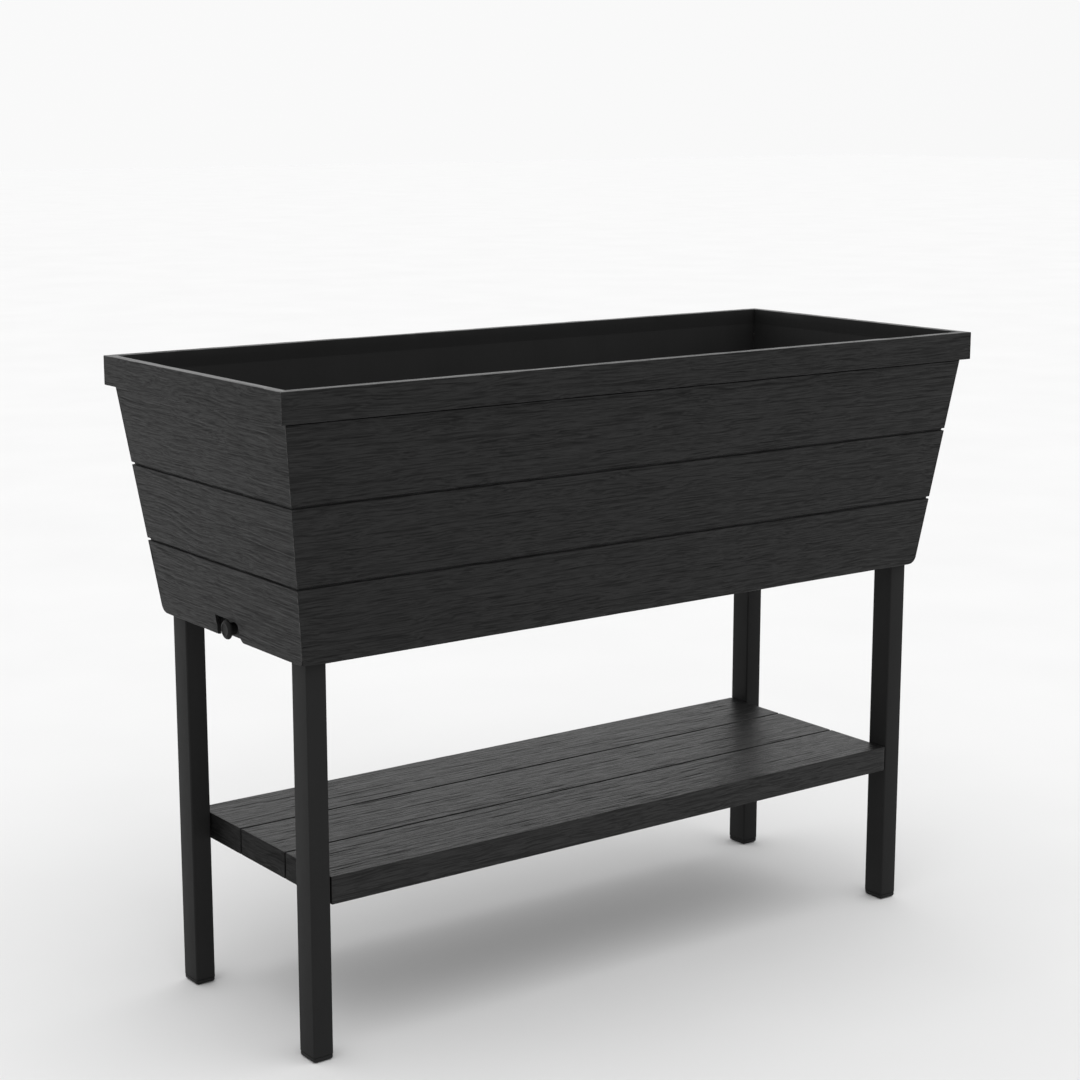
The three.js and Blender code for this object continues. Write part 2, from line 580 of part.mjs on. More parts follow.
// A peg between a leg and the shelf, with a collar in the gap between them.
function peg(sx, sy) {
  const legFace = LEG_OUTER_X - LEG_SIZE_X;
  const collar = legFace - SHELF_HALF_X - 2 * FIT_GAP;
  const profile = [
    [-PEG_INTO_SLAT, 0],
    [-PEG_INTO_SLAT, PEG_RADIUS - 0.8],
    [-PEG_INTO_SLAT + 0.8, PEG_RADIUS],
    [0, PEG_RADIUS],
    [0, PEG_RADIUS + 2.5],
    [collar, PEG_RADIUS + 2.5],
    [collar, PEG_RADIUS],
    [collar + PEG_INTO_LEG - 0.8, PEG_RADIUS],
    [collar + PEG_INTO_LEG, PEG_RADIUS - 0.8],
    [collar + PEG_INTO_LEG, 0],
  ];
  return turned(profile, [sx * (SHELF_HALF_X + FIT_GAP), sy * PEG_Y, PEG_Z], [sx, 0, 0]);
}

// ---- Drain ----
// The knob is a cap with a dished face, which screws over the tray's nozzle onto a rubber washer.
function knob() {
  const steps = KNOB_GRIPS * 4;
  const grip = [];
  for (let i = 0; i < steps; i++) {
    const angle = (2 * Math.PI * i) / steps;
    const radius = KNOB_RADIUS - (KNOB_GRIP_DEPTH / 2) * (1 - Math.cos(KNOB_GRIPS * angle));
    grip.push([radius * Math.cos(angle), DRAIN_Z + radius * Math.sin(angle)]);
  }
  const fluted = prismAlongX(outline(grip), KNOB_FACE, KNOB_BACK);
  const depth = KNOB_BACK - KNOB_FACE;
  const rounded = [
    [KNOB_DISH, 0],
    [KNOB_DISH, KNOB_RADIUS * 0.5],
    [KNOB_DISH * 0.3, KNOB_RADIUS * 0.6],
    [0, KNOB_RADIUS * 0.66],
    [0.3, KNOB_RADIUS - 3],
    [1.1, KNOB_RADIUS - 1.3],
    [2.2, KNOB_RADIUS - 0.3],
    [3.2, KNOB_RADIUS + 0.1],
    [KNOB_FLANGE - 0.4, KNOB_RADIUS + 0.1],
    [KNOB_FLANGE, KNOB_RADIUS - 0.5],
    [KNOB_FLANGE + 0.2, KNOB_BARREL],
    [depth, KNOB_BARREL],
    [depth, 0],
  ];
  const cap = fluted.intersect(turned(rounded, [KNOB_FACE, 0, DRAIN_Z], [1, 0, 0], 36));
  const cavityStart = [KNOB_FACE + KNOB_TOP_SKIN, 0, DRAIN_Z];
  return cap.subtract(rod(NOZZLE_RADIUS + FIT_GAP, cavityStart, [1, 0, 0], depth, 20));
}

function washer() {
  const from = [NOZZLE_END - FIT_GAP - WASHER_THICKNESS, 0, DRAIN_Z];
  return rod(NOZZLE_RADIUS, from, [1, 0, 0], WASHER_THICKNESS, 20);
}

// A slotted strip over the sump that keeps soil out of the drain.
function strainer() {
  const [x0, x1] = [SUMP_LOW_END + 2, SUMP_HIGH_END];
  const [bottom, top] = [TRAY_TOP + FIT_GAP, TRAY_TOP + FIT_GAP + STRAINER_THICKNESS];
  const halfWidth = SUMP_HALF_WIDTH + STRAINER_OVERLAP;
  let strip = prismAlongZ(roundedRectangle((x1 - x0) / 2, halfWidth, 3, (x0 + x1) / 2, 0), bottom, top);
  const pitch = (x1 - x0 - 2 * STRAINER_END) / STRAINER_SLOTS;
  const [halfSlot, slotY] = STRAINER_SLOT;
  for (let i = 0; i < STRAINER_SLOTS; i++) {
    const start = x0 + STRAINER_END + i * pitch;
    const slot = [start + 2 * halfSlot, start + pitch - 2 * halfSlot];
    for (const y of [-slotY, slotY]) {
      strip = strip.subtract(block(...slot, y - halfSlot, y + halfSlot, bottom - 1, top + 1));
    }
  }
  return strip;
}

// ---- Assembly ----
const screwHoles = { long: [], end: [] };
for (const [sx, sy] of CORNERS) {
  let plate = bracket(sx, sy);
  bracketScrews(sx, sy).forEach(({ seat, direction, into }, i) => {
    const hole = rod(SCREW_HOLE, seat, direction, BRACKET_SCREW_LENGTH + FIT_GAP);
    screwHoles[into].push({ sx, sy, hole });
    plate = plate.subtract(hole);
    const name = `bracket_screw_${sideName(sx, sy)}_${i + 1}`;
    addPiece(name, screw(seat, direction, BRACKET_SCREW_LENGTH), STEEL);
  });
  addPiece(`corner_bracket_${sideName(sx, sy)}`, plate, SMOOTH);
}

function drilled(wall, holes) {
  return holes.reduce((body, { hole }) => body.subtract(hole), wall);
}
addPiece("front_panel", drilled(longWall(), screwHoles.long.filter((h) => h.sy < 0)), GRAINED);
addPiece("back_panel", drilled(mirrorY(longWall()), screwHoles.long.filter((h) => h.sy > 0)), GRAINED);
const notchedEnd = endWall().subtract(drainNotch());
addPiece("left_end_panel", drilled(notchedEnd, screwHoles.end.filter((h) => h.sx < 0)), GRAINED);
addPiece("right_end_panel", drilled(mirrorX(endWall()), screwHoles.end.filter((h) => h.sx > 0)), GRAINED);

addPiece("base_tray", tray(), INNER);
addPiece("drain_strainer", strainer(), INNER);
addPiece("drain_washer", washer(), RUBBER);
addPiece("drain_knob", knob(), SMOOTH);

for (const [sx, sy] of CORNERS) {
  const side = sideName(sx, sy);
  addPiece(`leg_${side}`, leg(sx, sy), SMOOTH);
  addPiece(`foot_${side}`, foot(sx, sy), SMOOTH);
  const { seat, direction } = legScrewAt(sx, sy);
  addPiece(`leg_screw_${side}`, screw(seat, direction, LEG_SCREW_LENGTH), STEEL);
  addPiece(`shelf_peg_${side}`, peg(sx, sy), SMOOTH);
}

SLATS.forEach((name, i) => addPiece(`shelf_slat_${name}`, slat(i), GRAINED));
for (const sx of [-1, 1]) {
  const end = sx < 0 ? "left" : "right";
  addPiece(`shelf_crossbar_${end}`, crossbar(sx), INNER);
  SLATS.forEach((name, i) => {
    const { seat, direction } = slatScrewAt(sx, i);
    addPiece(`shelf_screw_${name}_${end}`, screw(seat, direction, SLAT_SCREW_LENGTH), STEEL);
  });
}

export default root;
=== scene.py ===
import math

import bpy
import numpy as np
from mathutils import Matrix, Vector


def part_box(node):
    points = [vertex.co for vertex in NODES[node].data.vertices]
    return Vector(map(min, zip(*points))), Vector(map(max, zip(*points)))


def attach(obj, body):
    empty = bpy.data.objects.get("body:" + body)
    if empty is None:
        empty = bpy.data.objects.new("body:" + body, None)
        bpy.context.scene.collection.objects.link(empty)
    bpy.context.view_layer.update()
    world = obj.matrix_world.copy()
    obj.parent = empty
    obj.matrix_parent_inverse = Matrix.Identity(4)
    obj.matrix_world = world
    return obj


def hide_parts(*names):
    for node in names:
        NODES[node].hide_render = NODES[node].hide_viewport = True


MM = 0.001
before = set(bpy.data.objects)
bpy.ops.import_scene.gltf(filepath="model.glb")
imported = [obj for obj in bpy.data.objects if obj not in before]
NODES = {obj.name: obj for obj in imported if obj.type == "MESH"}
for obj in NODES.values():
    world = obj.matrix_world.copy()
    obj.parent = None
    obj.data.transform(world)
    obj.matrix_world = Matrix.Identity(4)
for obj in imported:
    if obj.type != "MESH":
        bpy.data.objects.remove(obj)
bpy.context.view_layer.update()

# ---- Sizes of the pieces ----
# These are the CAD's, but the groove under the long rims and the cove under the end rims are smaller here.
FIT_GAP = 0.35
DRAFT = 0.1286
WALL = 4.5
WALL_BEND = 740.0
HALF_WIDTH_AT_BOTTOM = 162.5
RIM_BOTTOM = 725.5
RIM_SKIN = 3.0
RIM_HOLLOW_TOP = 756.5
RIM_GROOVE_BOTTOM = 723.2
RIM_GROOVE_DEPTH = 1.2
RIM_COVE = 1.2  # rounding between an end wall and its rim
RIM_WALL_INSET = 0.4
RIM_RIB_SPACING = 98.0
RIM_RIB = 2.4
RIM_RIB_BOTTOM = 729.0
RIM_TOP_BAND = 1.5  # height of the rounded edge that takes the rim top's material
PLANK_JOINTS = (544.8, 634.4)
GROOVE_HEIGHT = 3.0
GROOVE_DEPTH = 2.5
GROOVE_LIP = 0.5
BOTTOM_CORNER_RADIUS = 10.0
LEDGE_BOTTOM = 492.35
LEDGE_HEIGHT = 4.0
LEDGE_REACH = 9.0
NOTCH_BACK = 27.0
NOTCH_FRONT = -24.5
NOTCH_TOP = 480.0
NOTCH_INNER_RADIUS = 7.0
NOTCH_LIP_RADIUS = 13.0
NOTCH_SPAN = (-480, -440)  # along X, right through the left end wall
LEG_WALL = 2.6
LEG_CORNER = 2.0
FOOT_CORNER = 3.0
SLAT_SKIN = 3.0
SLAT_TOP_SKIN = 3.6
SLAT_END = 17.0
SLAT_CELLS = 8
SLAT_EDGE = 1.2
BOSS_RADIUS = 6.0
CROSSBAR_HEIGHT = 14.0
PEG_ROOM = 4.35  # radius of a peg's hole
SCREW_RADIUS = 2.0
SCREW_ROOM = 2.35  # radius of a screw's hole
SCREW_HEAD_RADIUS = 4.0
SCREW_HEAD_HEIGHT = 2.4


def box_mm(node):
    """The low and high corners of a CAD node's box."""
    low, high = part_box(node)
    return np.array(low) / MM, np.array(high) / MM


FRONT_LOW, FRONT_HIGH = box_mm("front_panel")
LEFT_LOW, LEFT_HIGH = box_mm("left_end_panel")
HEIGHT = FRONT_HIGH[2]
BOX_BOTTOM = FRONT_LOW[2]
RIM_OUT = -FRONT_LOW[1]
LONG_MITRE = FRONT_HIGH[0] - RIM_OUT  # a wall's half length is its mitre plus the distance out
END_MITRE = LEFT_HIGH[1] - RIM_OUT
CORNER = -LEFT_LOW[0] - RIM_OUT


# ---- Noise and wood grain ----
LATTICE_SIZE = 128
# Cells of the grain's noises, as (along, across) sizes.
PLANK_WAVES = ((14, (90, 22)), (3, (34, 8)))  # each with how far it bends the lines
PLANK_LINE = (90, 2.1)
PLANK_DASH = (30, 1.6)
PLANK_PATCH = (60, 12)
SLAT_WAVE = 8
SLAT_WAVE_CELL = (160, 30)
SLAT_LINE = (44, 2.1)
SLAT_FINE = (18, 1.4)
SLAT_CRACK = (58, 3.6)


def smooth(t):
    return t * t * (3 - 2 * t)


def rise(value, start, width):
    """Climbs smoothly from 0 to 1 as the value passes from `start` over `width`."""
    return smooth(np.clip((value - start) / width, 0, 1))


def noise(u, v, seed):
    """Smooth noise from 0 to 1, one lattice cell for each unit of u and v."""
    size = LATTICE_SIZE
    lattice = np.random.default_rng(seed).random((size, size))
    iu, iv = np.floor(u).astype(int), np.floor(v).astype(int)
    fu, fv = smooth(u - iu), smooth(v - iv)

    def row(line):
        return lattice[line % size, iu % size] * (1 - fu) + lattice[line % size, (iu + 1) % size] * fu

    return row(iv) * (1 - fv) + row(iv + 1) * fv


def cells(along, across, cell, seed):
    return noise(along / cell[0], across / cell[1], seed)


def plank_grain(along, across, seed):
    """Depth of the planks' embossed grain, from 0 to 1: long waved lines, and short dashes between them."""
    waves = [
        height * (cells(along, across, cell, seed + i) - 0.5) for i, (height, cell) in enumerate(PLANK_WAVES)
    ]
    across = across + sum(waves)
    line = 1 - rise(cells(along, across, PLANK_LINE, seed + 2), 0.2, 0.25)
    dash = rise(cells(along, across, PLANK_DASH, seed + 3), 0.6, 0.25)
    patchy = cells(along, across, PLANK_PATCH, seed + 4)
    return np.clip((0.5 + 0.6 * patchy) * line + 0.35 * dash, 0, 1)


def slat_grain(along, across, seed):
    """Depth of the shelf's grain, from 0 to 1.3: fine lines with a few long open cracks."""
    across = across + SLAT_WAVE * (cells(along, across, SLAT_WAVE_CELL, seed) - 0.5)
    line = cells(along, across, SLAT_LINE, seed + 1)
    fine = cells(along, across, SLAT_FINE, seed + 2)
    shallow = 1 - rise(0.6 * line + 0.4 * fine, 0.3, 0.32)
    crack = cells(along, across, SLAT_CRACK, seed + 3)
    deep = rise(crack, 0.76, 0.12)
    return 0.5 * shallow + 0.8 * deep


# ---- Meshes ----
ROW_STEP = 0.8  # between the rows of points of an embossed face
COARSE_STEP = 14.0  # between those of a plain face
SHARP_ANGLE = 38  # an edge that turns more than this stays sharp
GRAIN_SHARP_ANGLE = 52
SCREW_SHARP_ANGLE = 30


def skin(name, rings, looped=False):
    """A closed mesh over rings of points, an array of shape (rings, points, 3), with its faces facing out.

    It has a cap on its first and last ring, or is `looped` from the last ring back to the first.
    """
    points = np.asarray(rings, float).reshape(-1, 3) * MM
    count, size = rings.shape[:2]
    index = np.arange(count * size).reshape(count, size)
    following = np.roll(index, -1, axis=0) if looped else index[1:]
    current = index if looped else index[:-1]
    quads = np.stack([current, np.roll(current, -1, 1), np.roll(following, -1, 1), following], -1)
    quads = quads.reshape(-1, 4)
    caps = [] if looped else [index[0, ::-1], index[-1]]
    a, b, c, d = (points[quads[:, k]] for k in range(4))
    volume = np.einsum("ij,ij->", a, np.cross(b, c)) + np.einsum("ij,ij->", a, np.cross(c, d))
    for cap in caps:
        corners = points[cap]
        volume += np.dot(corners[0], np.cross(corners[1:-1], corners[2:]).sum(0))
    if volume < 0:
        quads, caps = quads[:, ::-1], [cap[::-1] for cap in caps]
    mesh = bpy.data.meshes.new(name)
    corners = np.concatenate([quads.ravel(), *caps])
    starts = np.concatenate([np.arange(len(quads)) * 4, quads.size + size * np.arange(len(caps))])
    mesh.vertices.add(len(points))
    mesh.vertices.foreach_set("co", points.ravel())
    mesh.loops.add(len(corners))
    mesh.loops.foreach_set("vertex_index", corners.astype(np.int32))
    mesh.polygons.add(len(starts))
    mesh.polygons.foreach_set("loop_start", starts.astype(np.int32))
    mesh.update(calc_edges=True)
    mesh.validate()
    made = bpy.data.objects.new(name, mesh)
    bpy.context.scene.collection.objects.link(made)
    return made


def prism(name, outline, axis, low, high):
    """An outline in the plane across `axis` (0, 1 or 2), in the axes' cyclic order, between two ends."""
    outline = np.asarray(outline, float)
    rings = np.zeros((2, len(outline), 3))
    for ring, end in zip(rings, (low, high)):
        ring[:, axis] = end
        ring[:, (axis + 1) % 3] = outline[:, 0]
        ring[:, (axis + 2) % 3] = outline[:, 1]
    return skin(name, rings)


def block(low, high):
    """A box between two corners."""
    (x0, y0, z0), (x1, y1, z1) = low, high
    return prism("block", [(y0, z0), (y1, z0), (y1, z1), (y0, z1)], 0, x0, x1)


def rod(centre, axis, low, high, radius, segments=24):
    """A round bar along `axis`, whose centre line passes through `centre`."""
    turn = np.linspace(0, 2 * math.pi, segments, endpoint=False)
    u, v = centre[(axis + 1) % 3], centre[(axis + 2) % 3]
    return prism("rod", np.stack([u + radius * np.cos(turn), v + radius * np.sin(turn)], 1), axis, low, high)


def bezier(start, control, end, steps=8):
    """Points of a curve that bends towards `control`."""
    t = np.linspace(0, 1, steps + 1)[:, None]
    start, control, end = (np.array(p, float) for p in (start, control, end))
    return ((1 - t) ** 2 * start + 2 * t * (1 - t) * control + t * t * end).tolist()


def combine(target, tools, operation):
    """Cuts `tools` from the target, or joins them to it, and removes them."""
    for tool in tools:
        step = target.modifiers.new("combine", "BOOLEAN")
        step.solver = "MANIFOLD"
        step.operation = operation
        step.object = tool
    whole = target.evaluated_get(bpy.context.evaluated_depsgraph_get())
    mesh = bpy.data.meshes.new_from_object(whole)
    target.modifiers.clear()
    target.data = mesh
    for tool in tools:
        bpy.data.objects.remove(tool)
    return target


def rounded_outline(corners):
    """The outline of (u, v, radius, relief) corners, each one rounded, as rows of (u, v, relief)."""
    rows = []
    count = len(corners)
    for i, (u, v, radius, relief) in enumerate(corners):
        here = np.array([u, v])
        back = np.array(corners[i - 1][:2]) - here
        ahead = np.array(corners[(i + 1) % count][:2]) - here
        back_length, ahead_length = np.linalg.norm(back), np.linalg.norm(ahead)
        reach = min(radius, 0.45 * back_length, 0.45 * ahead_length)
        if reach < 0.05:
            rows.append((u, v, relief))
            continue
        arc = bezier(here + back / back_length * reach, here, here + ahead / ahead_length * reach, 4)
        rows += [(*point, relief) for point in arc]
    return np.array(rows)


def resampled(rows, fine_step, coarse_step):
    """Adds points along an outline: close ones between two corners with relief, wide ones elsewhere."""
    out = []
    for i, here in enumerate(rows):
        ahead = rows[(i + 1) % len(rows)]
        length = np.linalg.norm(ahead[:2] - here[:2])
        embossed = here[2] > 0 and ahead[2] > 0
        steps = max(1, math.ceil(length / (fine_step if embossed else coarse_step)))
        for k in range(steps):
            point = here + (ahead - here) * k / steps
            if embossed and k and length > 4 * fine_step:
                point[2] = 1.0
            out.append(point)
    return np.array(out)


def outline_normals(outline):
    """Outward normals of an outline in its own plane."""
    along = np.roll(outline, -1, 0) - np.roll(outline, 1, 0)
    normals = np.stack([along[:, 1], -along[:, 0]], 1)
    normals /= np.linalg.norm(normals, axis=1)[:, None]
    u, v = outline.T
    area = np.sum(u * np.roll(v, -1) - np.roll(u, -1) * v)
    return normals * np.sign(area)


def distance_walked(rows):
    """Distance along an outline to each of its rows."""
    return np.linalg.norm(np.diff(rows[:, :2], axis=0, prepend=rows[:1, :2]), axis=1).cumsum()


def finish_mesh(made, material, node_names, body, sharp_angle=SHARP_ANGLE):
    """Gives a piece its material and shading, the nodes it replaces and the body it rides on."""
    made.data.materials.clear()
    made.data.materials.append(material)
    made.data.shade_smooth()
    made.data.set_sharp_from_angle(angle=math.radians(sharp_angle))
    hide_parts(*node_names)
    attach(made, body)
    return made


def paint(made, material, chosen):
    """Gives `material` to the faces whose (centres in millimetres, normals) `chosen` picks."""
    polygons = made.data.polygons
    centres = np.empty(len(polygons) * 3)
    normals = np.empty(len(polygons) * 3)
    polygons.foreach_get("center", centres)
    polygons.foreach_get("normal", normals)
    index = np.empty(len(polygons), np.int32)
    polygons.foreach_get("material_index", index)
    index[chosen(centres.reshape(-1, 3) / MM, normals.reshape(-1, 3))] = len(made.data.materials)
    made.data.materials.append(material)
    polygons.foreach_set("material_index", index)


# ---- Materials ----
class Shader:
    """A material's node tree, with one Principled BSDF."""

    def __init__(self, name, roughness, specular=0.5, metallic=0.0):
        self.material = bpy.data.materials.new(name)
        self.material.use_nodes = True
        self.tree = self.material.node_tree
        self.bsdf = self.tree.nodes["Principled BSDF"]
        self.bsdf.inputs["Roughness"].default_value = roughness
        self.bsdf.inputs["Specular IOR Level"].default_value = specular
        self.bsdf.inputs["Metallic"].default_value = metallic

    def node(self, kind, **values):
        made = self.tree.nodes.new(kind)
        for key, value in values.items():
            if key in made.inputs:
                made.inputs[key].default_value = value
            else:
                setattr(made, key, value)
        return made

    def link(self, source, target, name):
        self.tree.links.new(source, target.inputs[name])

    def noise(self, cell_mm, detail=4.0, roughness=0.55, place=None):
        """Noise whose cells have these sizes along X, Y and Z, in millimetres."""
        scaled = self.node("ShaderNodeMapping")
        scaled.inputs["Scale"].default_value = [1 / (size * MM) for size in cell_mm]
        self.link(place or self.node("ShaderNodeTexCoord").outputs["Object"], scaled, "Vector")
        made = self.node("ShaderNodeTexNoise", Scale=1.0, Detail=detail, Roughness=roughness)
        self.link(scaled.outputs["Vector"], made, "Vector")
        return made.outputs["Fac"]

    def waved(self, cell_mm, sway_mm):
        """The place on the object, shifted to and fro by up to half of `sway_mm`, as grain flows."""
        spread = self.node("ShaderNodeMapRange")
        spread.inputs["To Min"].default_value = -sway_mm * MM
        spread.inputs["To Max"].default_value = sway_mm * MM
        self.link(self.noise(cell_mm, detail=1), spread, "Value")
        shifted = self.node("ShaderNodeVectorMath", operation="ADD")
        self.tree.links.new(self.node("ShaderNodeTexCoord").outputs["Object"], shifted.inputs[0])
        self.tree.links.new(spread.outputs["Result"], shifted.inputs[1])
        return shifted.outputs["Vector"]

    def ramp(self, value, stops):
        """A colour ramp of (position, grey or colour) stops."""
        made = self.node("ShaderNodeValToRGB")
        elements = made.color_ramp.elements
        while len(elements) < len(stops):
            elements.new(0.5)
        for element, (position, colour) in zip(elements, stops):
            element.position = position
            element.color = (*colour, 1) if isinstance(colour, tuple) else (colour, colour, colour, 1)
        self.link(value, made, "Fac")
        return made.outputs["Color"]

    def blend(self, a, b, how="MULTIPLY", factor=1.0):
        made = self.node("ShaderNodeMix", data_type="RGBA", blend_type=how)
        made.inputs[0].default_value = factor
        self.tree.links.new(a, made.inputs[6])
        self.tree.links.new(b, made.inputs[7])
        return made.outputs[2]

    def bump(self, height, distance_mm, strength=1.0, under=None):
        made = self.node("ShaderNodeBump", Strength=strength, Distance=distance_mm * MM)
        self.link(height, made, "Height")
        if under is not None:
            self.link(under, made, "Normal")
        return made.outputs["Normal"]

    def drive(self, **sources):
        for name, source in sources.items():
            self.link(source, self.bsdf, name.replace("_", " "))
        return self.material


def along_axis(axis, along, across):
    """Cell sizes that are long on one axis and short on the other two."""
    cell = [across] * 3
    cell[axis] = along
    return cell


def grained_resin(name, axis, dark, light, roughness, specular):
    """Charcoal resin moulded with wood grain along an axis: lines, short fibres and pores.

    `dark` and `light` are the tone's limits, and `roughness` is the smoothest and the roughest.
    Painted shade: the hollows of the mesh, found by its pointiness, such as the bottoms of the moulded lines
    and the plank grooves, are painted darker and duller.
    """
    shader = Shader(name, roughness[0], specular)
    flow = shader.waved(along_axis(axis, 95, 22), 6)
    contours = shader.noise(along_axis(axis, 80, 1.7), detail=1, place=flow)
    fibres = shader.noise(along_axis(axis, 22, 0.9), detail=2, roughness=0.6, place=flow)
    streaks = shader.noise(along_axis(axis, 160, 9), detail=2)
    pores = shader.noise((0.55, 0.55, 0.55), detail=2)
    pointed = shader.node("ShaderNodeNewGeometry").outputs["Pointiness"]
    tone = shader.ramp(streaks, [(0.3, dark), (0.7, light)])
    line_tone = shader.ramp(contours, [(0.34, 0.58), (0.54, 1.0)])
    fibre_tone = shader.ramp(fibres, [(0.34, 0.66), (0.56, 1.0)])
    # Painted shade: colour darkened where the mesh is hollow (low pointiness), and below it the specular is
    # lowered there too
    crease_painted_shade = shader.ramp(pointed, [(0.44, 0.45), (0.49, 1.0)])
    fine_tone = shader.blend(line_tone, fibre_tone)
    shade = shader.blend(fine_tone, crease_painted_shade)
    gloss = shader.ramp(shade, [(0.25, 0.4 * specular), (1.0, specular)])
    shine = shader.ramp(fibres, [(0.35, roughness[1]), (0.6, roughness[0])])
    normal = shader.bump(pores, 0.05, 0.4)
    normal = shader.bump(fine_tone, 0.25, 0.9, normal)
    colour = shader.blend(tone, shade)
    return shader.drive(Base_Color=colour, Specular_IOR_Level=gloss, Roughness=shine, Normal=normal)


def smooth_resin(name, dark, light, roughness, specular):
    """Satin moulded resin: a fine spark-eroded texture and faint flow marks."""
    shader = Shader(name, roughness[0], specular)
    flow = shader.noise((60, 60, 160), detail=3)
    texture = shader.noise((0.5, 0.5, 0.5), detail=2)
    scuffs = shader.noise((9, 9, 30), detail=6, roughness=0.7)
    tone = shader.ramp(flow, [(0.3, dark), (0.7, light)])
    shine = shader.ramp(scuffs, [(0.35, roughness[0]), (0.75, roughness[1])])
    return shader.drive(Base_Color=tone, Roughness=shine, Normal=shader.bump(texture, 0.03, 0.5))


def zinc_steel():
    """Bright zinc plate on a screw, a little clouded."""
    shader = Shader("zinc_steel", 0.3, metallic=1.0)
    cloud = shader.noise((1.6, 1.6, 1.6), detail=4)
    tone = shader.ramp(cloud, [(0.3, (0.40, 0.41, 0.42)), (0.7, (0.56, 0.57, 0.58))])
    shine = shader.ramp(cloud, [(0.3, 0.42), (0.7, 0.26)])
    return shader.drive(Base_Color=tone, Roughness=shine, Normal=shader.bump(cloud, 0.02, 0.4))


def black_rubber():
    shader = Shader("black_rubber", 0.8, 0.3)
    dust = shader.noise((0.8, 0.8, 0.8), detail=5, roughness=0.7)
    tone = shader.ramp(dust, [(0.4, 0.008), (0.75, 0.02)])
    return shader.drive(Base_Color=tone, Normal=shader.bump(dust, 0.05, 0.5))


GRAIN_X = grained_resin(
    "plank_resin_long", axis=0, dark=0.0165, light=0.0175, roughness=(0.36, 0.48), specular=0.17
)
# The end walls' copy of the plank resin is darker and less glossy than the long walls' copy: painted shade
# that tones down the brighter light on the end walls
GRAIN_Y_PAINTED_DARKER = grained_resin(
    "plank_resin_end_painted_shade", axis=1, dark=0.014, light=0.015, roughness=(0.36, 0.48), specular=0.13
)
SHELF = grained_resin(
    "shelf_resin_grained", axis=0, dark=0.013, light=0.015, roughness=(0.34, 0.44), specular=0.275
)
SATIN = smooth_resin("satin_resin", dark=0.018, light=0.020, roughness=(0.42, 0.5), specular=0.06)
INNER = smooth_resin("inner_resin_plain", dark=0.016, light=0.021, roughness=(0.55, 0.68), specular=0.35)
WALL_INSIDE = smooth_resin("wall_inside_resin", dark=0.013, light=0.016, roughness=(0.5, 0.62), specular=0.2)
RIM_TOP = smooth_resin("rim_top_resin", dark=0.016, light=0.019, roughness=(0.32, 0.4), specular=0.5)
# The slats' end faces take a darker, duller copy of the shelf resin: painted shade
SHELF_END_PAINTED_DARKER = grained_resin(
    "shelf_end_resin_painted_shade", axis=1, dark=0.010, light=0.012, roughness=(0.42, 0.52), specular=0.08
)
KNOB_SATIN = smooth_resin("knob_resin", dark=0.013, light=0.015, roughness=(0.36, 0.44), specular=0.07)
STEEL = zinc_steel()
RUBBER = black_rubber()


# ---- Wall panels ----
PLANK_RELIEF = 0.6  # depth of the embossed grain
COLUMN_STEP = 6.0
GRAIN_FADE = 1.5  # over this length the grain dies away at a wall's ends
# Where the grain's pattern starts along and across, and how far it moves on for each plank up the wall.
GRAIN_START = (900, 400)
GRAIN_SHIFT = (211, 57)
CORNER_LIFT_LIMIT = 0.93  # the most a lower corner is lifted, as a share of its radius
LIFT_ROUNDS = 3  # a lower corner's lift depends on the distance out, which the lift changes
END_COLUMNS = (0, 0.7, 1.5, 2.6, 4, 5.6, 7.6, 10)  # distances from a wall's ends


def plank_face(z):
    """Distance out of the planks' face at a height."""
    return HALF_WIDTH_AT_BOTTOM + DRAFT * (z - BOX_BOTTOM)


def inner_face(z):
    return plank_face(z) - WALL


def wall_corners(hollow_rim):
    """Corners of a wall's section, up the outside and down the inside.

    Each one is (distance out, height, rounding, relief).
    """
    bend_face = plank_face(WALL_BEND)
    corners = [(plank_face(BOX_BOTTOM), BOX_BOTTOM, 1.5, 0.4)]
    for joint in PLANK_JOINTS:
        low, high = joint - GROOVE_HEIGHT / 2, joint + GROOVE_HEIGHT / 2
        corners += [
            (plank_face(low), low, 0.8, 0.5),
            (plank_face(low) - GROOVE_DEPTH, low + GROOVE_LIP, 0.5, 0),
            (plank_face(high) - GROOVE_DEPTH, high - GROOVE_LIP, 0.5, 0),
            (plank_face(high), high, 0.8, 0.5),
        ]
    if hollow_rim:
        neck = plank_face(RIM_GROOVE_BOTTOM) - RIM_GROOVE_DEPTH
        rim_wall = bend_face - RIM_WALL_INSET
        corners += [
            (plank_face(RIM_GROOVE_BOTTOM), RIM_GROOVE_BOTTOM, 0.8, 0.5),
            (neck, RIM_GROOVE_BOTTOM + GROOVE_LIP, 0.5, 0),
            (neck, RIM_BOTTOM + 2, 0.5, 0),
            (rim_wall, WALL_BEND, 0.5, 0),
            (rim_wall, RIM_HOLLOW_TOP, 1.0, 0),
            (RIM_OUT - RIM_SKIN, RIM_HOLLOW_TOP, 1.0, 0),
            (RIM_OUT - RIM_SKIN, RIM_BOTTOM, 0.4, 0),
        ]
    else:
        corners.append((plank_face(RIM_BOTTOM), RIM_BOTTOM, RIM_COVE, 0.5))
    ledge_top = LEDGE_BOTTOM + LEDGE_HEIGHT
    corners += [
        (RIM_OUT, RIM_BOTTOM, 0.8, 0.6),
        (RIM_OUT, HEIGHT, 1.2, 0.5),
        (bend_face - WALL, HEIGHT, 1.0, 0.3),
        (bend_face - WALL, WALL_BEND, 1.0, 0),
        (inner_face(ledge_top), ledge_top, 0, 0),
        (inner_face(ledge_top) - LEDGE_REACH, ledge_top, 0.6, 0),
        (inner_face(ledge_top) - LEDGE_REACH, LEDGE_BOTTOM, 0.6, 0),
        (inner_face(LEDGE_BOTTOM), LEDGE_BOTTOM, 0, 0),
        (inner_face(BOX_BOTTOM), BOX_BOTTOM, 0.8, 0),
    ]
    return corners


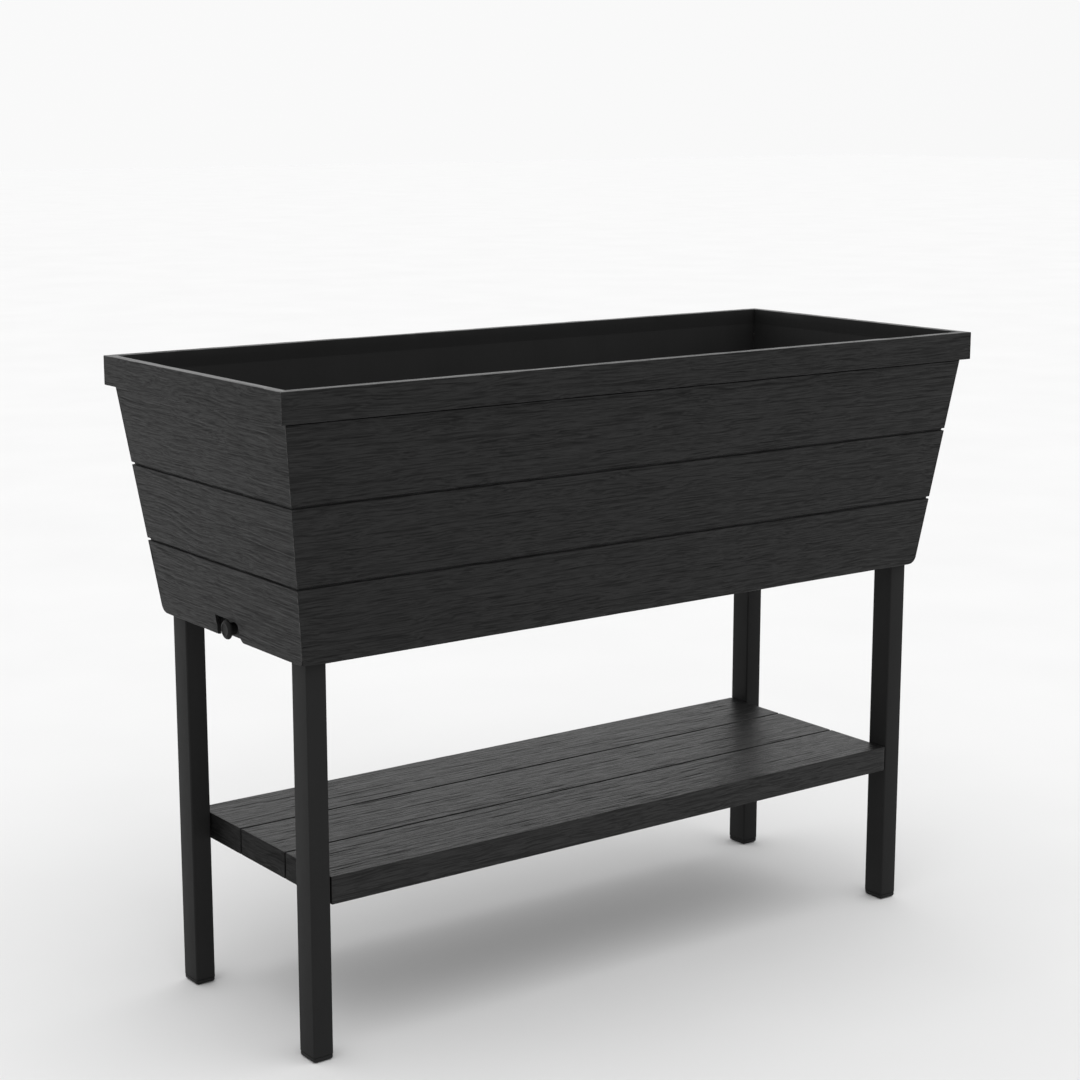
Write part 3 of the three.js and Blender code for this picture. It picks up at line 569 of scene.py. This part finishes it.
def corner_lift(length, edge):
    """Height of the rounded lower corner above the box's bottom, at a distance along the wall."""
    r = BOTTOM_CORNER_RADIUS
    x = np.clip((length - (edge - r)) / r, 0, 1 + DRAFT)
    t = (1 - np.sqrt(np.maximum(1 - (1 - DRAFT) * x, 0))) / (1 - DRAFT)
    return np.minimum(r * t * t, CORNER_LIFT_LIMIT * r)


def wall_shares(mitre):
    """Places of the columns along a wall, from -1 to 1."""
    half = mitre + HALF_WIDTH_AT_BOTTOM
    inner = half - END_COLUMNS[-1] - COLUMN_STEP
    steps = max(2, round(2 * inner / COLUMN_STEP))
    middle = np.linspace(-inner, inner, steps + 1)
    ends = half - np.array(END_COLUMNS, float)
    return np.concatenate([-ends, middle, ends[::-1]]) / half


def wall(name, mitre, hollow_rim, seed):
    """A wall whose outside faces -Y in its own frame, as rings of (along, out, height)."""
    rows = resampled(rounded_outline(wall_corners(hollow_rim)), ROW_STEP, COARSE_STEP)
    out, z, weight = rows.T
    normal = outline_normals(rows[:, :2])
    walked = distance_walked(rows)
    plank = np.searchsorted(PLANK_JOINTS, z)
    share = wall_shares(mitre)[:, None]
    edge = mitre + HALF_WIDTH_AT_BOTTOM

    along = share * (mitre + out)
    fade = rise((1 - np.abs(share)) * (mitre + out), 0, GRAIN_FADE)
    pattern_along = along + GRAIN_START[0] + GRAIN_SHIFT[0] * plank
    pattern_across = walked + GRAIN_START[1] + GRAIN_SHIFT[1] * plank
    grain = plank_grain(pattern_along, pattern_across, seed)
    depth = PLANK_RELIEF * weight * fade * grain
    out_now = out - depth * normal[:, 0]
    z_now = z - depth * normal[:, 1]
    low = np.clip(BOX_BOTTOM + BOTTOM_CORNER_RADIUS - z_now, 0, None)
    lifted_out, lifted_z = out_now, z_now
    for _ in range(LIFT_ROUNDS):
        lift = corner_lift(np.abs(share) * (mitre + lifted_out), edge)
        lifted_z = z_now + low * lift / BOTTOM_CORNER_RADIUS
        lifted_out = out_now + DRAFT * (lifted_z - z_now)
    return share * (mitre + lifted_out), lifted_out, lifted_z


WALLS = {
    # name: (mitre, hollow rim, seed, turn to the world's (x, y) from (along, out))
    "front_panel": (LONG_MITRE, True, 11, lambda u, d: (u, -d)),
    "back_panel": (LONG_MITRE, True, 31, lambda u, d: (-u, d)),
    "left_end_panel": (END_MITRE, False, 51, lambda u, d: (-CORNER - d, -u)),
    "right_end_panel": (END_MITRE, False, 71, lambda u, d: (CORNER + d, u)),
}


def rim_ribs(place):
    """Cross-ribs in a hollow rim, which join its skin to the wall."""
    outer, inner = RIM_OUT - RIM_SKIN / 2, plank_face(WALL_BEND) - WALL / 3
    top = (RIM_HOLLOW_TOP + HEIGHT) / 2
    count = int((CORNER + plank_face(RIM_BOTTOM)) // RIM_RIB_SPACING)
    ribs = []
    for i in range(-count, count + 1):
        u = i * RIM_RIB_SPACING
        ends = np.array([place(u - RIM_RIB / 2, outer), place(u + RIM_RIB / 2, inner)])
        ribs.append(block([*ends.min(0), RIM_RIB_BOTTOM], [*ends.max(0), top]))
    return ribs


def drain_notch():
    """The block that cuts the finger notch round the drain knob, open at the wall's lower edge."""
    below = BOX_BOTTOM - 2
    outline = [(NOTCH_BACK, below), (NOTCH_BACK, NOTCH_TOP)]
    outline += bezier((NOTCH_FRONT + NOTCH_INNER_RADIUS, NOTCH_TOP), (NOTCH_FRONT, NOTCH_TOP),
                      (NOTCH_FRONT, NOTCH_TOP - NOTCH_INNER_RADIUS))
    outline += bezier((NOTCH_FRONT, BOX_BOTTOM + NOTCH_LIP_RADIUS), (NOTCH_FRONT, BOX_BOTTOM),
                      (NOTCH_FRONT - NOTCH_LIP_RADIUS, BOX_BOTTOM))
    outline.append((NOTCH_FRONT - NOTCH_LIP_RADIUS, below))
    return prism("notch", outline, 0, *NOTCH_SPAN)


def screw_axis(node):
    """A screw's main axis, the sign of the way it is driven, and its box."""
    low, high = box_mm(node)
    axis = int(np.argmax(high - low))
    sign = 1 if axis == 2 else int(np.sign((low + high)[axis]))
    return axis, sign, low, high


def screw_hole(node):
    axis, _, low, high = screw_axis(node)
    return rod((low + high) / 2, axis, low[axis] - FIT_GAP, high[axis] + FIT_GAP, SCREW_ROOM)


def touches(node, wall_node):
    """True if a screw points across a wall and the end it is driven to lies in the wall's box."""
    axis, sign, low, high = screw_axis(node)
    wall_low, wall_high = box_mm(wall_node)
    tip = (low + high) / 2
    tip[axis] = high[axis] if sign > 0 else low[axis]
    long_wall = wall_node in ("front_panel", "back_panel")
    return axis == (1 if long_wall else 0) and bool(np.all((wall_low <= tip) & (tip <= wall_high)))


BRACKET_SCREWS = sorted(n for n in NODES if n.startswith("bracket_screw_"))


def build_walls():
    for name, (mitre, hollow_rim, seed, place) in WALLS.items():
        along, out, z = wall(name, mitre, hollow_rim, seed)
        x, y = place(along, out)
        made = skin(name + "_planks", np.stack([x, y, z], -1))
        if hollow_rim:
            combine(made, rim_ribs(place), "UNION")
        cuts = [screw_hole(s) for s in BRACKET_SCREWS if touches(s, name)]
        if name == "left_end_panel":
            cuts.append(drain_notch())
        combine(made, cuts, "DIFFERENCE")
        # The end walls take the darker copy of the plank resin, which carries painted shade
        finish_mesh(made, GRAIN_X if hollow_rim else GRAIN_Y_PAINTED_DARKER, [name], "planter",
                    GRAIN_SHARP_ANGLE)
        inward = np.array([*place(0.0, -1.0), 0.0]) - np.array([*place(0.0, 0.0), 0.0])
        paint(made, WALL_INSIDE, lambda at, facing: facing @ inward > 0.5)
        paint(made, RIM_TOP, lambda at, facing: (facing[:, 2] > 0.6) & (at[:, 2] > HEIGHT - RIM_TOP_BAND))


# ---- Shelf ----
SLAT_RELIEF = 0.48  # the deepest cracks are 1.3 times this
SLAT_COLUMN_STEP = 5.0
SLAT_END_ROUNDING = 1.0
SLAT_END_MARGIN = 6  # from a slat's ends to its first and last plain column
SLAT_FADE = 4.0  # over this length the grain dies away at a slat's ends
SLAT_GRAIN_START = (900, 300)
SCREW_TIP_ROOM = 1.5


def slat_columns(low, high):
    """Places along a slat, with how far each one is set in to round the ends."""
    r = SLAT_END_ROUNDING
    rounding = [(r, 0.0), (0.62 * r, 0.08 * r), (0.29 * r, 0.29 * r), (0.08 * r, 0.62 * r), (0.0, r)]
    count = round((high[0] - low[0]) / SLAT_COLUMN_STEP)
    plain = np.linspace(low[0] + SLAT_END_MARGIN, high[0] - SLAT_END_MARGIN, count)
    columns = [(low[0] + end, inset) for inset, end in rounding] + [(x, 0.0) for x in plain]
    columns += [(high[0] - end, inset) for inset, end in rounding[::-1]]
    return (np.array(values)[:, None] for values in zip(*columns))


def slat_rings(low, high, seed):
    """A slat's outside: a bar with rounded edges, embossed on its top and its long sides."""
    corners = [
        (low[1], low[2], 0.6, 0.3),
        (high[1], low[2], 0.6, 0.3),
        (high[1], high[2], SLAT_EDGE, 0.5),
        (low[1], high[2], SLAT_EDGE, 0.5),
    ]
    rows = resampled(rounded_outline(corners), ROW_STEP, COARSE_STEP)
    normal = outline_normals(rows[:, :2])
    walked = distance_walked(rows)
    weight = np.where(normal[:, 1] < -0.5, 0.0, rows[:, 2])
    x, inset = slat_columns(low, high)
    fade = rise(np.minimum(x - low[0], high[0] - x) - SLAT_END_ROUNDING, 0, SLAT_FADE)
    grain = slat_grain(x + SLAT_GRAIN_START[0], walked + SLAT_GRAIN_START[1], seed)
    depth = SLAT_RELIEF * weight * fade * grain + inset
    y = rows[:, 0] - depth * normal[:, 0]
    z = rows[:, 1] - depth * normal[:, 1]
    return np.stack([np.broadcast_to(x, y.shape), y, z], -1)


def slat_hollows(low, high):
    """The blocks that cut the hollows between the ribs under a slat."""
    inner = high[0] - SLAT_END
    cell = 2 * inner / SLAT_CELLS
    hollows = []
    for c in range(SLAT_CELLS):
        x0 = -inner + c * cell + SLAT_SKIN / 2
        hollows.append(block([x0, low[1] + SLAT_SKIN, low[2] - 1],
                             [x0 + cell - SLAT_SKIN, high[1] - SLAT_SKIN, high[2] - SLAT_TOP_SKIN]))
    return hollows


def slat_joints(name, low, high):
    """A slat's screw bosses, and the cuts that its crossbars, screws and pegs need."""
    bosses, cuts = [], []
    for screw in [n for n in NODES if n.startswith("shelf_screw_" + name.rsplit("_", 1)[1])]:
        screw_low, screw_high = box_mm(screw)
        at = (screw_low + screw_high) / 2
        bar_low, bar_high = box_mm("shelf_crossbar_left" if at[0] < 0 else "shelf_crossbar_right")
        bosses.append(rod(at, 2, low[2] + CROSSBAR_HEIGHT - 1, high[2] - 1, BOSS_RADIUS))
        cuts.append(block([bar_low[0] - FIT_GAP, bar_low[1] - FIT_GAP, low[2] - 1],
                          [bar_high[0] + FIT_GAP, bar_high[1] + FIT_GAP, bar_high[2] + FIT_GAP]))
        cuts.append(rod(at, 2, low[2], screw_high[2] + SCREW_TIP_ROOM, SCREW_ROOM))
    for peg in [n for n in NODES if n.startswith("shelf_peg_")]:
        peg_low, peg_high = box_mm(peg)
        at = (peg_low + peg_high) / 2
        if low[1] < at[1] < high[1]:
            cuts.append(rod(at, 0, peg_low[0] - 2, peg_high[0] + 2, PEG_ROOM))
    return bosses, cuts


def build_slat(name, seed):
    low, high = box_mm(name)
    made = skin(name + "_board", slat_rings(low, high, seed))
    combine(made, slat_hollows(low, high), "DIFFERENCE")
    bosses, cuts = slat_joints(name, low, high)
    combine(made, bosses, "UNION")
    combine(made, cuts, "DIFFERENCE")
    finish_mesh(made, SHELF, [name], "planter", GRAIN_SHARP_ANGLE)
    # Painted shade: the slat's end faces get the darker copy of the shelf resin
    paint(made, SHELF_END_PAINTED_DARKER, lambda at, facing: (abs(facing[:, 0]) > 0.7) & (abs(at[:, 0]) > high[0] - 1))


# ---- Legs and feet ----
def rounded_rectangle(low, high, radius, inset=0.0, steps=6):
    """Points round a rectangle in X and Y, with its corners rounded."""
    (x0, y0), (x1, y1) = np.array(low[:2]) + inset, np.array(high[:2]) - inset
    radius = max(radius - inset, 0.3)
    points = []
    for cx, cy, start in ((x1 - radius, y0 + radius, -0.5), (x1 - radius, y1 - radius, 0),
                          (x0 + radius, y1 - radius, 0.5), (x0 + radius, y0 + radius, 1)):
        for angle in np.linspace(start, start + 0.5, steps + 1) * math.pi:
            points.append((cx + radius * math.cos(angle), cy + radius * math.sin(angle)))
    return np.array(points)


def stacked(low, high, radius, levels):
    """Rings of a rounded rectangle at (height, inset) levels."""
    rings = []
    for z, inset in levels:
        points = rounded_rectangle(low, high, radius, inset)
        rings.append(np.column_stack([points, np.full(len(points), z)]))
    return np.array(rings)


def build_leg(corner):
    """A leg's tube, with the holes for its screw and its peg, and the foot plugged into its end."""
    low, high = box_mm("leg_" + corner)
    z0, z1 = low[2], high[2]
    levels = [(z0, 0.4), (z0 + 0.4, 0), (z1 - 0.4, 0), (z1, 0.4), (z1, LEG_WALL), (z0, LEG_WALL)]
    made = skin(f"leg_{corner}_tube", stacked(low, high, LEG_CORNER, levels), looped=True)
    cuts = [screw_hole("leg_screw_" + corner)]
    peg_low, peg_high = box_mm("shelf_peg_" + corner)
    cuts.append(rod((peg_low + peg_high) / 2, 0, peg_low[0], peg_high[0], PEG_ROOM))
    combine(made, cuts, "DIFFERENCE")
    finish_mesh(made, SATIN, ["leg_" + corner], "planter")

    low, high = box_mm("foot_" + corner)
    seam = z0 - FIT_GAP
    plug = LEG_WALL + FIT_GAP
    sole = [(0, 3.0), (0.25, 1.9), (0.9, 0.9), (1.9, 0.25), (3.0, 0)]
    side = [(seam - 0.3, 0), (seam, 0.3)]
    stub = [(seam, plug), (high[2] - 1, plug), (high[2], plug + 1)]
    foot = skin(f"foot_{corner}_cap", stacked(low, high, FOOT_CORNER, sole + side + stub))
    finish_mesh(foot, SATIN, ["foot_" + corner], "planter")


# ---- Drain knob ----
KNOB_GRIPS = 24  # flutes round the flange
KNOB_GRIP_DEPTH = 0.4
KNOB_DISH = 0.8
KNOB_FLANGE = 4.6  # its thickness
KNOB_BARREL = 7.4  # its radius
KNOB_CAVITY = (4.6, 5.15)  # depth of the cap's top and radius of its bore
KNOB_CENTRE = 0.3  # radius of the small flat that closes each end of the profile


def knob_profile(radius, depth):
    """The cap's section from its face to its bore, as (distance in, radius, share of the grips' depth)."""
    top, bore = KNOB_CAVITY
    dish = [
        (KNOB_DISH, KNOB_CENTRE, 0),
        (KNOB_DISH, 1.5, 0),
        (KNOB_DISH, radius * 0.48, 0),
        (KNOB_DISH * 0.85, radius * 0.54, 0),
        (KNOB_DISH * 0.25, radius * 0.6, 0),
    ]
    rim = [
        (0.0, radius * 0.65, 0),
        (0.05, radius * 0.69, 0),
        (0.35, radius - 2.9, 0),
        (0.65, radius - 2.1, 0),
        (1.2, radius - 1.2, 0),
        (1.8, radius - 0.6, 0),
    ]
    flange = [
        (2.5, radius - 0.15, 0.3),
        (3.1, radius, 1),
        (KNOB_FLANGE - 0.6, radius, 1),
        (KNOB_FLANGE - 0.15, radius - 0.15, 0.8),
        (KNOB_FLANGE, radius - 0.7, 0.2),
    ]
    barrel = [
        (KNOB_FLANGE, KNOB_BARREL + 0.5, 0),
        (KNOB_FLANGE + 0.5, KNOB_BARREL, 0),
        (depth - 0.5, KNOB_BARREL, 0),
        (depth, KNOB_BARREL - 0.5, 0),
    ]
    cavity = [
        (depth, bore + 0.4, 0),
        (depth - 0.4, bore, 0),
        (top + 0.2, bore, 0),
        (top, bore - 0.3, 0),
        (top, KNOB_CENTRE, 0),
    ]
    return dish + rim + flange + barrel + cavity


def build_knob():
    """A cap with a dished face, a rounded flange with fine grips, and a narrower barrel."""
    low, high = box_mm("drain_knob")
    axis_y, axis_z = (low + high)[1:] / 2
    turn = np.linspace(0, 2 * math.pi, KNOB_GRIPS * 6, endpoint=False)
    flute = KNOB_GRIP_DEPTH / 2 * (1 - np.cos(KNOB_GRIPS * turn))
    rings = []
    for away, r, fluted in knob_profile((high[2] - low[2]) / 2, high[0] - low[0]):
        reach = r - flute * fluted
        rings.append(np.column_stack([np.full(len(turn), low[0] + away), axis_y + reach * np.cos(turn),
                                      axis_z + reach * np.sin(turn)]))
    made = skin("drain_knob_cap", np.array(rings))
    finish_mesh(made, KNOB_SATIN, ["drain_knob"], "knob")


# ---- Screws ----
THREAD_STEP = 0.55  # from a thread's crest to its root
THREAD_DEPTH = 0.35
RECESS_ARM = (2.1, 0.45)  # half the length and half the width of one arm of the cross
RECESS_DEPTH = 1.3


def screw_profile(length):
    """A screw's section from its head to its tip, as (distance from the head's top, radius)."""
    h, hr, sr = SCREW_HEAD_HEIGHT, SCREW_HEAD_RADIUS, SCREW_RADIUS
    profile = [(0, 0.5), (0.05, hr * 0.45), (0.35, hr * 0.78), (1.0, hr * 0.96), (1.6, hr), (h - 0.15, hr)]
    profile += [(h, hr - 0.15), (h, sr)]
    threads = np.arange(h + 0.6, length - sr, THREAD_STEP)
    profile += [(t, sr - (THREAD_DEPTH if i % 2 else 0.0)) for i, t in enumerate(threads)]
    return profile + [(length - sr, sr - 0.3), (length, 0.3)]


def cross_recess(middle, head, axis, sign):
    """Two crossed blocks that cut the recess in a screw's head."""
    bars = []
    for arm in (RECESS_ARM, RECESS_ARM[::-1]):
        sides = np.zeros(3), np.zeros(3)
        for side, way in zip(sides, (-1, 1)):
            side[axis] = head + sign * (-0.5 if way < 0 else RECESS_DEPTH)
            side[(axis + 1) % 3] = middle[(axis + 1) % 3] + way * arm[0]
            side[(axis + 2) % 3] = middle[(axis + 2) % 3] + way * arm[1]
        bars.append(block(np.minimum(*sides), np.maximum(*sides)))
    return bars


def build_screw(name):
    """A pan-head screw with a thread and a cross recess."""
    axis, sign, low, high = screw_axis(name)
    middle = (low + high) / 2
    head = low[axis] if sign > 0 else high[axis]
    turn = np.linspace(0, 2 * math.pi, 24, endpoint=False)
    rings = []
    for away, r in screw_profile(high[axis] - low[axis]):
        ring = np.zeros((len(turn), 3))
        ring[:, axis] = head + sign * away
        ring[:, (axis + 1) % 3] = middle[(axis + 1) % 3] + r * np.cos(turn)
        ring[:, (axis + 2) % 3] = middle[(axis + 2) % 3] + r * np.sin(turn)
        rings.append(ring)
    made = skin(name + "_pan_head", np.array(rings))
    combine(made, cross_recess(middle, head, axis, sign), "DIFFERENCE")
    finish_mesh(made, STEEL, [name], "planter", SCREW_SHARP_ANGLE)


# ---- CAD nodes that keep their own mesh ----
# Start of the node's name: (material, width of its bevel).
KEPT_NODES = {
    "base_tray": (INNER, 0.5),
    "drain_strainer": (INNER, 0.3),
    "drain_washer": (RUBBER, 0.25),
    "corner_bracket_": (SATIN, 0.5),
    "shelf_crossbar_": (INNER, 0.5),
    "shelf_peg_": (SATIN, 0.2),
}
WELD_DISTANCE = 0.01
BEVEL_ANGLE = 40


def dress_cad_nodes():
    for start, (material, width) in KEPT_NODES.items():
        for node in [NODES[name] for name in NODES if name.startswith(start)]:
            node.data.materials.clear()
            node.data.materials.append(material)
            weld = node.modifiers.new("weld", "WELD")
            weld.merge_threshold = WELD_DISTANCE * MM
            bevel = node.modifiers.new("bevel", "BEVEL")
            bevel.width = width * MM
            bevel.segments = 2
            bevel.limit_method = "ANGLE"
            bevel.angle_limit = math.radians(BEVEL_ANGLE)


# ---- Camera, floor and light ----
CAMERA_PLACE = (-1.6146, -2.1640, 1.0498)  # metres
CAMERA_TILT = 78.813  # up from looking straight down
CAMERA_HEADING = -36.265
CAMERA_SENSOR = 36
CAMERA_LENS = 74.15
FLOOR_REACH = 30000
FLOOR_SPAN = (-20, -0.5)  # heights of the floor's bottom and top
FLOOR_TONE = [(0.2, 0.80), (0.8, 0.83)]
BRIGHT_SIDE = (0.22, 0.88, 0.42)  # the way to the bright part of the sky, high up behind the planter
SKY_BRIGHT = 0.95
SKY_DIM = 0.6
SKY_GRADE = (-0.6, 0.9)  # the sky is dim and bright at these cosines of the angle to the bright side
TOP_LIGHT = 1.2
TOP_LIGHT_SPREAD = 75
TOP_LIGHT_TILT = 18  # it shines from above and a little from the front


def build_camera():
    data = bpy.data.cameras.new("camera")
    data.sensor_width = CAMERA_SENSOR
    data.lens = CAMERA_LENS
    camera = bpy.data.objects.new("camera", data)
    camera.location = CAMERA_PLACE
    camera.rotation_euler = (math.radians(CAMERA_TILT), 0, math.radians(CAMERA_HEADING))
    bpy.context.scene.collection.objects.link(camera)
    bpy.context.scene.camera = camera


def build_floor():
    reach = FLOOR_REACH
    corners = [(-reach, -reach), (reach, -reach), (reach, reach), (-reach, reach)]
    floor = prism("floor", corners, 2, *FLOOR_SPAN)
    shader = Shader("pale_floor", 1.0, 0.0)
    grain = shader.noise((400, 400, 400), detail=2)
    shader.drive(Base_Color=shader.ramp(grain, FLOOR_TONE))
    floor.data.materials.append(shader.material)
    floor.data.shade_flat()


def build_sky():
    """A white sky, brighter towards one side."""
    world = bpy.data.worlds.new("studio")
    world.use_nodes = True
    tree = world.node_tree
    sky = tree.nodes["Background"]
    sky.inputs["Color"].default_value = (1, 1, 1, 1)
    way = tree.nodes.new("ShaderNodeTexCoord")
    facing = tree.nodes.new("ShaderNodeVectorMath")
    facing.operation = "DOT_PRODUCT"
    facing.inputs[1].default_value = BRIGHT_SIDE
    graded = tree.nodes.new("ShaderNodeMapRange")
    graded.interpolation_type = "SMOOTHSTEP"
    graded.inputs["From Min"].default_value = SKY_GRADE[0]
    graded.inputs["From Max"].default_value = SKY_GRADE[1]
    graded.inputs["To Min"].default_value = SKY_DIM
    graded.inputs["To Max"].default_value = SKY_BRIGHT
    tree.links.new(way.outputs["Generated"], facing.inputs[0])
    tree.links.new(facing.outputs["Value"], graded.inputs["Value"])
    tree.links.new(graded.outputs["Result"], sky.inputs["Strength"])
    bpy.context.scene.world = world


def build_top_light():
    data = bpy.data.lights.new("soft_top_light", "SUN")
    data.energy = TOP_LIGHT
    data.angle = math.radians(TOP_LIGHT_SPREAD)
    light = bpy.data.objects.new("soft_top_light", data)
    light.rotation_euler = (math.radians(TOP_LIGHT_TILT), 0, 0)
    bpy.context.scene.collection.objects.link(light)


build_camera()
build_walls()
for slat_seed, slat_name in enumerate(sorted(n for n in NODES if n.startswith("shelf_slat_"))):
    build_slat(slat_name, 91 + 20 * slat_seed)
for leg_corner in ("front_left", "front_right", "back_left", "back_right"):
    build_leg(leg_corner)
build_knob()
for screw_name in [n for n in NODES if "_screw_" in n]:
    build_screw(screw_name)
dress_cad_nodes()
build_floor()
build_sky()
build_top_light()
bpy.context.scene.view_settings.view_transform = "Standard"
